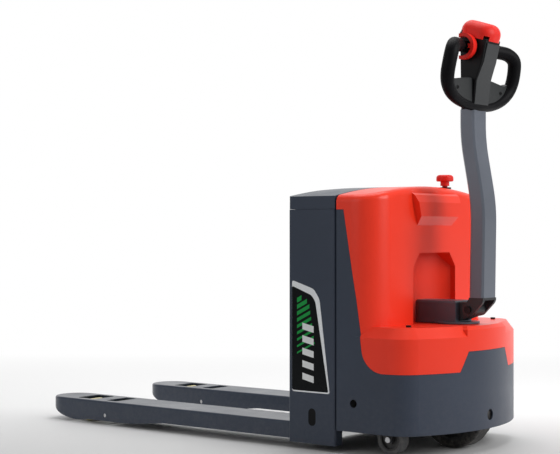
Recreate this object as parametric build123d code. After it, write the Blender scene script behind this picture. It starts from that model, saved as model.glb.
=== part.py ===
from build123d import *
import math
import os

# Electric pallet truck with a walk-behind tiller.
# Millimetres. +Y points from the drive end to the fork tips, +X to the right of
# an operator who faces the forks, +Z up. While the pieces are made, Y = 0 is the
# heel of the forks. At the end the whole truck is moved along Y, so that the
# origin is at the middle of its footprint, on the floor.

# ---- forks ----
fork_length = 1150
fork_span = 685
fork_width = 160
fork_top = 85
fork_bottom = 30
fork_wall = 5
fork_edge = 7
nose_bottom = 14
nose_start = 560
nose_full = 715
nose_end = 935
window_width = 106
wheel_window = (925, 1012)
pivot_window = (812, 864)

# ---- fork frame and battery box ----
body_width = 696
box_depth = 184
box_bottom = 20
box_top = 768
box_wall = 6
tray_height = 190
tray_thickness = 6
slot_width = 29
slot_height = 56
slot_z = 105

# ---- lifting linkage ----
lift_travel = 115
load_wheel_diameter = 80
load_wheel_width = 66
load_arm_pivot = (845, 34)
load_arm_reach = 130
link_lug = 26
link_angle = 30
rocker_y = -94
rocker_z = 85
rocker_shaft_diameter = 24
rod_pin_diameter = 10
rod_height = 16
rod_width = 14
rod_slot = 7.4
lever_pin_diameter = 16
lever_width = 20
lug_thickness = 10

# ---- chassis, skirt and hood ----
body_gap = 6
bow_radius = 600
bow_front = -543
bow_corner = 100
skirt_bottom = 71
shell_wall = 4
shell_seam = 0.8
skirt_top = 258
tab_top = 321
tab_half_top = 113.5
tab_half_bottom = 151
deck_top = 400
deck_bevel_in = 25
deck_bevel_drop = 33
wall_front = -336
wall_corner = 90
crown_top = 845
crown_radius = 1750
roll_radius = 24
brow_proud = 22
pocket_radius = 165
pocket_top = 628
pocket_half = 129
plate_bottom = 262
plate_thickness = 8
stand_off_x = 262
stand_off_y = -404

# ---- drive unit and steering ----
steer_y = -420
drive_wheel_diameter = 230
drive_wheel_width = 70
turntable_radius = 85
bearing_radius = 102
motor_radius = 56
motor_top = 380
brake_radius = 50
brake_top = 402
base_top = 475
base_half_width = 50
base_rear = 140
base_front = 25
hinge_y = -486
hinge_z = 448
hinge_pin_diameter = 16
hinge_lug_radius = 23

# ---- tiller ----
arm_width = 84
arm_depth = 52
arm_wall = 8
arm_bottom = 486
head_bottom = 1088
head_half_width = 46
grip_radius = 16
arm_bend = 600
grip_reach = 206
grip_neck = 12
paddle_outer = 42
paddle_inner = 31
paddle_width = 30
cap_width = 106
cap_length = 120
cap_height = 52
cap_skirt = 6

# ---- casters ----
caster_x = 258
caster_y = -318
caster_trail = 26
caster_diameter = 96
caster_width = 40

# ---- fits ----
running_gap = 0.3
bore_gap = 0.05
button_gap = 0.4

half_body = body_width / 2
fork_centre = fork_span / 2 - fork_width / 2
wheel_z = load_wheel_diameter / 2
deck_angle = math.degrees(math.atan2(deck_bevel_in, deck_bevel_drop))
plate_top = plate_bottom + plate_thickness


def block(x0, x1, y0, y1, z0, z1):
    return Pos((x0 + x1) / 2, (y0 + y1) / 2, (z0 + z1) / 2) * Box(x1 - x0, y1 - y0, z1 - z0)


def disc_x(radius, x0, x1, y, z):
    return Pos((x0 + x1) / 2, y, z) * Rot(0, 90, 0) * Cylinder(radius, x1 - x0)


def disc_y(radius, x, y0, y1, z):
    return Pos(x, (y0 + y1) / 2, z) * Rot(90, 0, 0) * Cylinder(radius, y1 - y0)


def disc_z(radius, x, y, z0, z1):
    return Pos(x, y, (z0 + z1) / 2) * Cylinder(radius, z1 - z0)


def face_yz(points, x=0):
    return make_face(Plane.YZ.offset(x) * Polyline(*points, close=True))


def prism_x(points, x0, x1):
    return extrude(face_yz(points, x0), amount=x1 - x0, dir=(1, 0, 0))


def prism_y(points, y0, y1):
    outline = make_face(Plane.XZ.offset(-y1) * Polyline(*points, close=True))
    return extrude(outline, amount=y1 - y0, dir=(0, -1, 0))


def both_sides(piece):
    return piece, mirror(piece, about=Plane.YZ)


def group(*pieces):
    solids = []
    for piece in pieces:
        solids += list(piece.solids())
    return Compound(solids)


def arc_yz(centre, radius, angle):
    a = math.radians(angle)
    return centre[0] + radius * math.cos(a), centre[1] + radius * math.sin(a)


# ---- forks ----

def fork_form(inset, floor):
    half = fork_width / 2 - inset
    nose_y = fork_length - fork_width / 2
    plan = Pos(0, nose_y / 2) * Rectangle(2 * half, nose_y)
    plan += Pos(0, nose_y) * Circle(half)
    tall = extrude(plan, amount=fork_top - inset)
    tall = fillet(tall.faces().sort_by(Axis.Z)[-1].edges().filter_by(
        lambda e: e.center().Y > 1), fork_edge if inset == 0 else fork_edge - fork_wall + 0.5)
    side = make_face(Plane.YZ.offset(-fork_width) * (
        Polyline((0, fork_top), (0, floor), (nose_start, floor),
                 (nose_full, floor - fork_bottom + nose_bottom),
                 (nose_end, floor - fork_bottom + nose_bottom))
        + ThreePointArc((nose_end, floor - fork_bottom + nose_bottom),
                        (fork_length - 70, floor - fork_bottom + nose_bottom + 12),
                        (fork_length - inset, fork_top - 20))
        + Polyline((fork_length - inset, fork_top - 20), (fork_length - inset, fork_top),
                   (0, fork_top))))
    return tall & extrude(side, amount=2 * fork_width, dir=(1, 0, 0))


def make_fork():
    shell = fork_form(0, fork_bottom)
    inner = extrude(Pos(0, 0, -1) * Plane.XY * (
        Pos(0, (fork_length - fork_width) / 2) * Rectangle(fork_width - 2 * fork_wall,
                                                         fork_length - fork_width)
        + Pos(0, fork_length - fork_width / 2) * Circle(fork_width / 2 - fork_wall)
        + Pos(0, fork_length - 0.75 * fork_width) * Rectangle(fork_width - 2 * fork_wall,
                                                              fork_width / 2)),
        amount=fork_top - fork_wall + 1)
    nose_floor = block(-fork_width, fork_width, nose_end + 95, fork_length, -5, fork_top)
    shell -= inner - nose_floor
    half = window_width / 2
    for start, end in (wheel_window, pivot_window):
        window = block(-half, half, start, end, fork_top - 20, fork_top + 5)
        shell -= fillet(window.edges().filter_by(Axis.Z), 8)
    y, z = load_arm_pivot
    for x in (-fork_width / 2 + fork_wall, fork_width / 2 - fork_wall - 14):
        shell += disc_x(15, x, x + 14, y, z) - block(x, x + 14, y - 20, y + 20, 0, nose_bottom)
    shell -= disc_x(rod_pin_diameter / 2 + 2 + bore_gap, -fork_width, fork_width, y, z)
    return shell


def fork_at(side):
    return Pos(side * fork_centre, 0, 0) * make_fork()


# ---- fork frame, battery and lid ----

def make_frame_box():
    frame = block(-half_body, half_body, -box_depth, 0, box_bottom, box_top)
    frame = fillet(frame.edges().filter_by(Axis.Z), 7)
    inside = half_body - box_wall
    frame -= block(-inside, inside, -box_depth + box_wall, -box_wall, 0, box_top + 10)
    frame += block(-inside, inside, -box_depth + box_wall, -box_wall,
                   tray_height, tray_height + tray_thickness)
    frame -= block(-half_body + 40, half_body - 40, -box_depth - 1, -box_depth + box_wall,
                   0, tray_height)
    for side in (-1, 1):
        centre = side * fork_centre
        frame -= block(centre - 36, centre + 36, -box_wall - 1, 1, 0, fork_top - fork_wall)
        slot = Plane.YZ.offset(side * half_body - 8) * Pos(rocker_y, slot_z) * \
            Rot(0, 0, 90) * SlotOverall(slot_height, slot_width)
        frame -= extrude(slot, amount=16)
        x0, x1 = sorted((side * (inside - 22), side * inside))
        cheek = block(x0, x1, rocker_y - 26, rocker_y + 26, rocker_z - 26, tray_height)
        frame += cheek
    frame -= disc_x(rocker_shaft_diameter / 2 + bore_gap, -inside - 0.5, inside + 0.5,
                    rocker_y, rocker_z)
    bracket = block(-22, 22, -box_depth - 62, -box_depth, 640, 660)
    frame += fillet(bracket.edges().filter_by(Axis.Z).sort_by(Axis.Y)[:2], 20)
    return frame


def crown(inset):
    return Pos(0, -200, crown_top - crown_radius) * Rot(90, 0, 0) * Cylinder(
        crown_radius - inset, 900)


def lid_form(inset):
    bottom = box_top + shell_seam if inset == 0 else box_top - 20
    top = block(-half_body + inset, half_body - inset, -box_depth + inset, -inset,
                bottom, crown_top + 40)
    top = fillet(top.edges().filter_by(Axis.Z).sort_by(Axis.Y)[-2:], 9 - inset)
    top &= crown(inset)
    profile = face_yz([(-box_depth - 10, 700), (-box_depth - 10, crown_top + 10), (-75, crown_top - inset),
                       (-16, crown_top - 12 - inset), (2 - inset, crown_top - 34), (2 - inset, 700)],
                      -half_body - 10)
    profile = fillet(profile.vertices().filter_by(lambda v: abs(v.Y + 16) < 1), 22)
    return top & extrude(profile, amount=body_width + 20, dir=(1, 0, 0))


def make_lid():
    return lid_form(0) - lid_form(shell_wall)


def make_battery():
    side = half_body - box_wall - 12
    pack = block(-side, side, -box_depth + box_wall + 8, -box_wall - 8,
                 tray_height + tray_thickness, box_top - 40)
    pack = fillet(pack.edges().filter_by(Axis.Z), 6)
    for x in (-120, 120):
        pack += disc_z(12, x, -box_depth / 2, box_top - 40, box_top - 24)
    return pack


def make_slide_pads():
    pads = []
    for side in (-1, 1):
        for z in (300, 600):
            pads.append(block(side * 170 - 15, side * 170 + 15, -box_depth - body_gap - 2 + running_gap,
                              -box_depth, z, z + 60))
    return group(*pads)


# ---- lifting linkage ----

def lug_end(pivot, reach, angle):
    return arc_yz(pivot, reach, angle)


def link_bar(start, end, radius, x0, x1):
    length = math.dist(start, end)
    angle = math.degrees(math.atan2(end[1] - start[1], end[0] - start[0]))
    flat = SlotCenterToCenter(length, 2 * radius)
    mid = (start[0] + end[0]) / 2, (start[1] + end[1]) / 2
    return extrude(Plane.YZ.offset(x0) * Pos(*mid) * Rot(0, 0, angle) * flat, amount=x1 - x0)


rocker_pivot = (rocker_y, rocker_z)
lever_reach = lift_travel
lever_pin = lug_end(rocker_pivot, lever_reach, 180 - link_angle)
rocker_lug_pin = lug_end(rocker_pivot, link_lug, 270 - link_angle)
arm_lug_pin = lug_end(load_arm_pivot, link_lug, 90 + link_angle)
arm_rise = wheel_z - load_arm_pivot[1]
load_axle_y = load_arm_pivot[0] + math.sqrt(load_arm_reach ** 2 - arm_rise ** 2)
load_axle = (load_axle_y, wheel_z)


def make_rocker():
    inside = half_body - box_wall
    shaft = disc_x(rocker_shaft_diameter / 2, -inside + running_gap, inside - running_gap,
                   rocker_y, rocker_z)
    shaft += link_bar(rocker_pivot, lever_pin, 19, -lever_width / 2, lever_width / 2)
    shaft -= disc_x(lever_pin_diameter / 2, -lever_width, lever_width, *lever_pin)
    for side in (-1, 1):
        for offset in (-1, 1):
            x = side * fork_centre + offset * (rod_width / 2 + running_gap + 5)
            shaft += link_bar(rocker_pivot, rocker_lug_pin, 13, x - 5, x + 5)
        shaft += disc_x(17, side * fork_centre - rod_width / 2 - 10.3,
                        side * fork_centre - rod_width / 2 - running_gap, rocker_y, rocker_z)
    half = rod_width / 2 + running_gap + 10
    for side in (-1, 1):
        shaft -= disc_x(rod_pin_diameter / 2, side * fork_centre - half - 1,
                        side * fork_centre + half + 1, *rocker_lug_pin)
        shaft -= disc_x(19, side * fork_centre - rod_width / 2 - running_gap,
                        side * fork_centre + rod_width / 2 + running_gap, *rocker_lug_pin) \
            - disc_x(rocker_shaft_diameter / 2, -half_body, half_body, rocker_y, rocker_z)
    return shaft


def make_rocker_pins():
    reach = lever_width / 2 + lug_thickness + running_gap
    pins = [disc_x(lever_pin_diameter / 2, -reach, reach, *lever_pin)]
    half = rod_width / 2 + running_gap + 10
    for side in (-1, 1):
        x = side * fork_centre
        pins.append(disc_x(rod_pin_diameter / 2, x - half, x + half, *rocker_lug_pin))
    return group(*pins)


def make_push_rod(side):
    x = side * fork_centre
    x0, x1 = x - rod_width / 2, x + rod_width / 2
    rod = link_bar(rocker_lug_pin, arm_lug_pin, rod_height / 2, x0, x1)
    rod += disc_x(11, x0, x1, *rocker_lug_pin)
    rod += block(x0, x1, arm_lug_pin[0] - 11, arm_lug_pin[0] + 10,
                 arm_lug_pin[1] - rod_pin_diameter / 2 - 3.4,
                 arm_lug_pin[1] + rod_slot + rod_pin_diameter / 2 + 3)
    rod -= disc_x(rod_pin_diameter / 2 + bore_gap, x0 - 1, x1 + 1, *rocker_lug_pin)
    eye = rod_pin_diameter / 2 + 0.4
    rod -= link_bar((arm_lug_pin[0], arm_lug_pin[1] - 0.4),
                    (arm_lug_pin[0], arm_lug_pin[1] + rod_slot), eye, x0 - 1, x1 + 1)
    return rod


def make_load_arm(side):
    x = side * fork_centre
    arm = disc_x(rod_pin_diameter / 2 + 5, x - 9, x + 9, *load_arm_pivot)
    for side_end in (-1, 1):
        x0, x1 = sorted((x + side_end * 8, x + side_end * 40))
        arm += disc_x(13, x0, x1, *load_arm_pivot)
    for offset in (-1, 1):
        cheek = x + offset * (load_wheel_width / 2 + 2 + 2.5)
        arm += link_bar(load_arm_pivot, load_axle, 13, cheek - 2.5, cheek + 2.5)
        lug = x + offset * (rod_width / 2 + running_gap + 4)
        arm += link_bar(load_arm_pivot, arm_lug_pin, 9, lug - 4, lug + 4)
    half = rod_width / 2 + running_gap + 8
    arm -= disc_x(rod_pin_diameter / 2 + 2, x - 60, x + 60, *load_arm_pivot)
    arm -= disc_x(rod_pin_diameter / 2, x - half - 1, x + half + 1, *arm_lug_pin)
    arm -= disc_x(8, x - 60, x + 60, *load_axle)
    return arm


def make_load_axle(side):
    x = side * fork_centre
    half = load_wheel_width / 2 + 7
    rod_half = rod_width / 2 + running_gap + 8
    axle = disc_x(8, x - half, x + half, *load_axle)
    link_pin = disc_x(rod_pin_diameter / 2, x - rod_half, x + rod_half, *arm_lug_pin)
    shaft_half = fork_width / 2 - fork_wall
    shaft = disc_x(rod_pin_diameter / 2 + 2, x - shaft_half - 3, x + shaft_half + 3,
                   *load_arm_pivot)
    return group(axle, link_pin, shaft)


def make_load_tyre(side):
    x = side * fork_centre
    half = load_wheel_width / 2
    tyre = disc_x(load_wheel_diameter / 2, x - half, x + half, *load_axle)
    tyre = fillet(tyre.edges(), 4)
    return tyre - disc_x(load_wheel_diameter / 2 - 11, x - half - 1, x + half + 1, *load_axle)


def make_load_hub(side):
    x = side * fork_centre
    half = load_wheel_width / 2
    hub = disc_x(load_wheel_diameter / 2 - 11, x - half, x + half, *load_axle)
    for offset in (-1, 1):
        face = x + offset * half
        x0, x1 = sorted((face, face - offset * 3))
        hub -= disc_x(23, x0, x1, *load_axle) - disc_x(14, x0 - 1, x1 + 1, *load_axle)
    return hub - disc_x(8 + bore_gap, x - half - 1, x + half + 1, *load_axle)


# ---- hood and skirt ----

def bow_plan(inset, back):
    half = half_body - inset
    centre = bow_front + bow_radius
    plan = Pos(0, (bow_front + back) / 2) * Rectangle(2 * half, back - bow_front)
    plan &= Pos(0, centre) * Circle(bow_radius - inset)
    meet = centre - math.sqrt((bow_radius - inset) ** 2 - half ** 2)
    corners = plan.vertices().filter_by(lambda v: abs(v.Y - meet) < 0.5)
    return fillet(corners, bow_corner - inset)


def lower_form(inset, back, floor):
    plan = bow_plan(inset, back)
    bevel_start = deck_top - deck_bevel_drop - inset * math.tan(math.radians(deck_angle / 2))
    top = deck_top - inset
    form = extrude(Pos(0, 0, floor) * plan, amount=bevel_start - floor)
    form += extrude(Pos(0, 0, bevel_start) * plan, amount=top - bevel_start, taper=deck_angle)
    middle = plan & Pos(0, bow_front) * Rectangle(240 - 2 * inset, 200)
    form += extrude(Pos(0, 0, floor) * middle, amount=deck_top - 11 - inset * 0.4 - floor)
    form += extrude(Pos(0, 0, deck_top - 11 - inset * 0.4) * middle,
                    amount=11 - inset * 0.6, taper=42)
    return form


def upper_form(inset, back):
    half = half_body - inset
    plan = Pos(0, (wall_front + inset + back) / 2) * Rectangle(2 * half, back - wall_front - inset)
    plan = fillet(plan.vertices().sort_by(Axis.Y)[:2], wall_corner - inset)
    form = extrude(Pos(0, 0, deck_top - 80) * plan, amount=crown_top - deck_top + 120)
    form &= crown(inset)
    rim = form.edges().filter_by(lambda e: e.center().Z > crown_top - 60)
    rim = rim.filter_by(lambda e: abs(e.tangent_at(0.5).Z) < 0.5 and e.center().Y < back - 5)
    return fillet(rim, roll_radius - inset)


def brow_form(inset):
    face = wall_front - brow_proud + inset
    profile = prism_x([(wall_front + 40, 717 + 1.4 * inset), (wall_front, 717 + 1.4 * inset),
                       (face, 746 + 0.6 * inset), (face, 792), (face + 12, 815 - inset),
                       (wall_front + 22, 836 - inset), (wall_front + 40, 838 - inset)], -300, 300)
    panel = prism_y([(-100 + inset, 700), (100 - inset, 700), (150 - inset, 860),
                     (-150 + inset, 860)], wall_front - 80, wall_front + 60)
    return profile & panel


def pocket_form(inset):
    r = pocket_radius + inset
    side = pocket_half
    outline = [(-side - inset, deck_top - 90), (side + inset, deck_top - 90),
               (side + inset, pocket_top - 46), (92 + inset * 0.4, pocket_top + inset),
               (-92 - inset * 0.4, pocket_top + inset), (-side - inset, pocket_top - 46)]
    return disc_z(r, 0, steer_y, deck_top - 90, pocket_top + 20) & prism_y(
        outline, steer_y - 10, steer_y + 250)


def shell_form(inset, back, floor):
    tall = upper_form(inset, back) + brow_form(inset) - pocket_form(inset)
    return lower_form(inset, back, floor) + tall


def skirt_region(grow):
    back = -box_depth + 60
    seam = [(back, 30), (bow_front - 60, 30), (bow_front - 60, skirt_top), (-294, skirt_top),
            (-265, 484), (-217, 766), (back, 766)]
    outline = face_yz(seam, -half_body - 20)
    curve = outline.vertices().filter_by(
        lambda v: abs(v.Y + 294) < 0.5 and abs(v.Z - skirt_top) < 0.5)
    outline = fillet(curve, 80)
    tab = make_face(Plane.XZ.offset(-bow_front + 90) * Polyline(
        (-tab_half_bottom, skirt_top - 20), (tab_half_bottom, skirt_top - 20),
        (tab_half_bottom, skirt_top), (tab_half_top, tab_top), (-tab_half_top, tab_top),
        (-tab_half_bottom, skirt_top), close=True))
    if grow:
        outline = offset(outline, grow, kind=Kind.INTERSECTION)
        tab = offset(tab, grow, kind=Kind.INTERSECTION)
    strip = extrude(outline, amount=20 + wall_corner, dir=(1, 0, 0))
    base = block(-half_body - 20, half_body + 20, bow_front - 60, back, 30, skirt_top + grow)
    return base + strip + mirror(strip, about=Plane.YZ) + extrude(
        tab, amount=170, dir=(0, 1, 0))


def make_hood_and_skirt():
    back = -box_depth - body_gap
    shell = shell_form(0, back, skirt_bottom) - shell_form(shell_wall, back + 40, 0)
    shell &= block(-400, 400, bow_front - 5, back, 0, 900)
    skirt = shell & skirt_region(0)
    hood = shell - skirt_region(shell_seam)
    for side in (-1, 1):
        skirt -= disc_x(13, side * half_body - 10, side * half_body + 10, -255, 160)
    skirt -= disc_y(17.5, 0, bow_front - 10, bow_front + 30, 114)
    hood -= disc_z(motor_radius + 6, 0, steer_y, deck_top - 20, deck_top + 1)
    hood -= disc_z(stop_stem_radius, stop_x, stop_y, 700, 900)
    for side in (-1, 1):
        hood -= disc_z(4.2, side * stand_off_x, stand_off_y, deck_top - 20, deck_top + 20)
    return hood, skirt


stop_x = 142
stop_y = -288
stop_stem_radius = 17
stop_base_z = crown_top - stop_x ** 2 / (2 * crown_radius)


def make_hood_screws():
    screws = []
    for side in (-1, 1):
        head = disc_z(8, side * stand_off_x, stand_off_y, deck_top, deck_top + 6)
        head -= disc_z(3.5, side * stand_off_x, stand_off_y, deck_top + 2, deck_top + 7)
        shank = disc_z(4, side * stand_off_x, stand_off_y, deck_top - 24, deck_top)
        screws.append(head + shank)
    return group(*screws)


# ---- chassis ----

def make_chassis_frame():
    back = -box_depth - body_gap - 2
    frame = extrude(Pos(0, 0, plate_bottom) * bow_plan(shell_wall + running_gap, back),
                    amount=plate_thickness)
    frame -= disc_z(bearing_radius + 0.0, 0, steer_y, plate_bottom - 5, plate_top + 5)
    frame += block(-300, 300, -236, -228, skirt_bottom + 4, plate_bottom + 1)
    for side in (-1, 1):
        column = disc_z(26, side * caster_x, caster_y, caster_diameter + 12, plate_bottom + 1)
        frame += column
        frame += disc_z(10, side * stand_off_x, stand_off_y, plate_top - 1, deck_top - shell_wall)
        frame -= disc_z(4, side * stand_off_x, stand_off_y, deck_top - 30, deck_top)
        frame += block(side * 170 - 20, side * 170 + 20, back - 30, back, plate_top - 1, 790)
        x0, x1 = sorted((side * (lever_width / 2 + running_gap),
                         side * (lever_width / 2 + lug_thickness)))
        lug = block(x0, x1, -229, lever_pin[0] + 17, lever_pin[1] - 18, lever_pin[1] + 19)
        frame += lug
        x0, x1 = sorted((side * 290, side * (half_body - shell_wall)))
        frame += block(x0, x1, -236, -228, skirt_bottom + 4, plate_bottom + 1)
    slot_end = rocker_y - lever_reach
    for side in (-1, 1):
        frame -= disc_z(10 + bore_gap, side * caster_x, caster_y, 60, 190)
    frame -= link_bar((slot_end - 0.8, lever_pin[1] + 0.5), (lever_pin[0] + 0.8, lever_pin[1] + 0.5),
                      lever_pin_diameter / 2 + 1.6, -60, 60)
    return frame


def make_lift_cylinder():
    y = -box_depth - 36
    barrel = disc_z(21, 0, y, plate_top, 520) + disc_z(25, 0, y, plate_top, plate_top + 16)
    barrel += disc_z(24, 0, y, 500, 520)
    return barrel - disc_z(12 + bore_gap, 0, y, plate_top + 20, 530)


def make_piston_rod():
    y = -box_depth - 36
    return disc_z(12, 0, y, plate_top + 30, 640)


def make_pump_tank():
    tank = block(-315, -205, -312, -215, plate_top, 430)
    tank = fillet(tank.edges().filter_by(Axis.Z), 10)
    return tank + disc_z(13, -225, -230, 430, 446)


def make_pump_motor():
    y = -264
    motor = disc_z(40, -262, y, 430, 560) + disc_z(30, -262, y, 560, 568)
    return motor - disc_z(13.5, -225, -230, 420, 450)


def make_controller():
    case = block(210, 318, -300, -216, plate_top, 440)
    for i in range(7):
        z = plate_top + 20 + 20 * i
        case -= block(200, 330, -301, -292, z, z + 10)
    return case


def make_bearing():
    ring = disc_z(bearing_radius, 0, steer_y, plate_bottom, plate_top + 6)
    ring += disc_z(bearing_radius + 12, 0, steer_y, plate_top, plate_top + 6)
    ring -= disc_z(turntable_radius + running_gap, 0, steer_y, plate_bottom - 1, plate_top + 7)
    return ring


def make_stop_body():
    collar = disc_z(stop_stem_radius + 4, stop_x, stop_y, stop_base_z + 1.6, stop_base_z + 7)
    collar += disc_z(stop_stem_radius - 0.5, stop_x, stop_y, stop_base_z - 40, stop_base_z + 7)
    collar -= disc_z(9 + bore_gap, stop_x, stop_y, stop_base_z - 30, stop_base_z + 20)
    return collar


def make_stop_button():
    z = stop_base_z + 7
    head = disc_z(29, stop_x, stop_y, z + 20, z + 42)
    head = fillet(head.edges().sort_by(Axis.Z)[-1:], 11)
    head = fillet(head.edges().sort_by(Axis.Z)[:1], 4)
    neck = disc_z(15, stop_x, stop_y, z + 5, z + 22)
    stem = disc_z(9, stop_x, stop_y, z - 20, z + 7)
    return head + neck + stem


# ---- casters ----

def make_caster_fork(side):
    x = side * caster_x
    y = caster_y - caster_trail
    r = caster_diameter / 2
    crown_z = caster_diameter + 5
    half = caster_width / 2 + 3
    fork = disc_z(30, x, caster_y, crown_z, crown_z + 6)
    fork += block(x - half - 4, x + half + 4, y - 14, caster_y, crown_z, crown_z + 6)
    for offset in (-1, 1):
        x0, x1 = sorted((x + offset * half, x + offset * (half + 4)))
        leg = prism_x([(y - 13, r - 10), (y + 13, r - 10), (caster_y + 12, crown_z + 1),
                       (y - 14, crown_z + 1)], x0, x1)
        fork += leg
        fork -= disc_x(6, x0 - 1, x1 + 1, y, r)
    return fork + disc_z(10, x, caster_y, crown_z + 1, crown_z + 70)


def make_caster_axle(side):
    x = side * caster_x
    half = caster_width / 2 + 7
    axle = disc_x(6, x - half, x + half, caster_y - caster_trail, caster_diameter / 2)
    for offset in (-1, 1):
        x0, x1 = sorted((x + offset * half, x + offset * (half + 5)))
        axle += disc_x(9, x0, x1, caster_y - caster_trail, caster_diameter / 2)
    return axle


def make_caster_tyre(side):
    x = side * caster_x
    half = caster_width / 2
    y, z = caster_y - caster_trail, caster_diameter / 2
    tyre = fillet(disc_x(z, x - half, x + half, y, z).edges(), 6)
    return tyre - disc_x(z - 12, x - half - 1, x + half + 1, y, z)


def make_caster_hub(side):
    x = side * caster_x
    half = caster_width / 2
    y, z = caster_y - caster_trail, caster_diameter / 2
    hub = disc_x(z - 12, x - half, x + half, y, z)
    for x0, x1 in ((x - half - 1, x - half + 10), (x + half - 10, x + half + 1)):
        hub -= disc_x(z - 18, x0, x1, y, z) - disc_x(14, x0, x1, y, z)
    return hub - disc_x(6 + bore_gap, x - half - 1, x + half + 1, y, z)


# ---- drive unit ----

def make_turntable():
    disc = disc_z(turntable_radius, 0, steer_y, plate_bottom + 2, plate_top + 6)
    return disc + disc_z(motor_radius + 14, 0, steer_y, plate_top + 5, plate_top + 12)


def make_gearbox():
    x0 = drive_wheel_width / 2 + 5
    r = drive_wheel_diameter / 2
    case = disc_x(62, x0, x0 + 42, steer_y, r)
    case += block(x0, x0 + 42, steer_y - 48, steer_y + 48, r, plate_bottom - 6)
    case += block(x0, x0 + 40, steer_y - 22, steer_y + 22, plate_bottom - 7, plate_bottom + 2)
    case += disc_x(40, x0 + 42, x0 + 52, steer_y, r)
    case -= disc_x(18 + bore_gap, x0 - 1, x0 + 30, steer_y, r)
    return fillet(case.edges().filter_by(GeomType.CIRCLE).sort_by(Axis.X)[-1:], 4)


def make_drive_motor():
    motor = disc_z(motor_radius, 0, steer_y, plate_top + 12, motor_top)
    for i in range(4):
        z = plate_top + 26 + 18 * i
        motor -= disc_z(motor_radius + 1, 0, steer_y, z, z + 6) \
            - disc_z(motor_radius - 3, 0, steer_y, z - 1, z + 7)
    return motor


def make_motor_brake():
    return disc_z(brake_radius, 0, steer_y, motor_top, brake_top)


def make_tiller_base():
    base = disc_z(74, 0, steer_y, brake_top, brake_top + 5)
    box = block(-base_half_width, base_half_width, steer_y - base_front, steer_y + base_rear,
                brake_top, base_top)
    rear = box.edges().filter_by(Axis.Z).sort_by(Axis.Y)[-2:]
    box = fillet(rear, 30)
    box = fillet(box.faces().sort_by(Axis.Z)[-1].edges(), 8)
    return base + box


def make_hinge_block():
    x = arm_width / 2 - 12 - running_gap
    front = steer_y - base_front
    lug = prism_x([(front, brake_top + 8), (front, base_top - 6), (hinge_y, hinge_z + hinge_lug_radius),
                   (hinge_y, hinge_z - hinge_lug_radius)], -x, x)
    lug += disc_x(hinge_lug_radius, -x, x, hinge_y, hinge_z)
    return lug - disc_x(hinge_pin_diameter / 2, -x - 1, x + 1, hinge_y, hinge_z)


def make_tiller_pin():
    half = arm_width / 2
    pin = disc_x(hinge_pin_diameter / 2, -half - 1, half + 1, hinge_y, hinge_z)
    for x0, x1 in ((-half - 6, -half - running_gap), (half + running_gap, half + 6)):
        pin += disc_x(hinge_pin_diameter / 2 + 4, x0, x1, hinge_y, hinge_z)
    return pin


def make_drive_hub():
    r = drive_wheel_diameter / 2
    half = drive_wheel_width / 2
    hub = disc_x(r - 24, -half, half, steer_y, r)
    for x0, x1 in ((-half - 1, -half + 14), (half - 10, half + 1)):
        hub -= disc_x(r - 34, x0, x1, steer_y, r) - disc_x(44, x0, x1, steer_y, r)
    return hub + disc_x(18, half - 1, half + 33, steer_y, r)


def make_drive_tyre():
    r = drive_wheel_diameter / 2
    half = drive_wheel_width / 2
    tyre = fillet(disc_x(r, -half, half, steer_y, r).edges(), 8)
    return tyre - disc_x(r - 24, -half - 1, half + 1, steer_y, r)


def make_wheel_bolts():
    r = drive_wheel_diameter / 2
    bolts = []
    for i in range(5):
        y, z = arc_yz((steer_y, r), 31, 90 + 72 * i)
        bolt = disc_x(6.5, -drive_wheel_width / 2 - 6, -drive_wheel_width / 2, y, z)
        bolts.append(bolt)
    return group(*bolts)


# ---- tiller ----

arm_front = [(-541, arm_bottom), (-546, 780), (-507, 990), (-507, head_bottom)]


def arm_side(inset):
    front = [(y + inset, z) for y, z in arm_front]
    back = [(y + arm_depth - inset, z) for y, z in reversed(arm_front)]
    outline = face_yz(front + back, -arm_width / 2 + inset)
    bends = outline.vertices().filter_by(lambda v: 700 < v.Z < 1000)
    return fillet(bends, arm_bend)


def make_tiller_arm():
    arm = extrude(arm_side(0), amount=arm_width, dir=(1, 0, 0))
    long_edges = arm.edges().filter_by(lambda e: abs(abs(e.center().X) - arm_width / 2) < 0.1
                                       and abs(e.tangent_at(0.5).Z) > 0.5)
    arm = chamfer(long_edges, 6)
    hollow = extrude(arm_side(arm_wall), amount=arm_width - 2 * arm_wall, dir=(1, 0, 0))
    return arm - hollow


def make_tiller_yoke():
    front = arm_front[0][0]
    outline = face_yz([(hinge_y + 22, hinge_z), (front + arm_depth, arm_bottom - 4),
                       (front + arm_depth, arm_bottom), (front, arm_bottom),
                       (front, arm_bottom - 14), (hinge_y - 14, hinge_z - 17)])
    corner = outline.vertices().filter_by(lambda v: abs(v.Z - arm_bottom + 14) < 0.1)
    outline = fillet(corner, 26)
    yoke = block(-arm_width / 2, arm_width / 2, front, front + arm_depth,
                 arm_bottom - 8, arm_bottom)
    for side in (-1, 1):
        x0, x1 = sorted((side * (arm_width / 2 - 12), side * arm_width / 2))
        cheek = Pos(x0, 0, 0) * extrude(outline, amount=12, dir=(1, 0, 0))
        cheek += disc_x(22, x0, x1, hinge_y, hinge_z)
        cheek -= disc_x(hinge_pin_diameter / 2 + bore_gap, x0 - 1, x1 + 1, hinge_y, hinge_z)
        yoke += cheek
    return yoke


head_top_back = (-458, 1338)
head_top_front = (-556, 1306)
cap_tilt = math.degrees(math.atan2(head_top_back[1] - head_top_front[1],
                                   head_top_back[0] - head_top_front[0]))
cap_centre = ((head_top_back[0] + head_top_front[0]) / 2, (head_top_back[1] + head_top_front[1]) / 2)
cap_plane = Pos(0, *cap_centre) * Rot(cap_tilt, 0, 0)
cap_travel = 6
paddle_axis = (-485, 1286)


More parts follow.
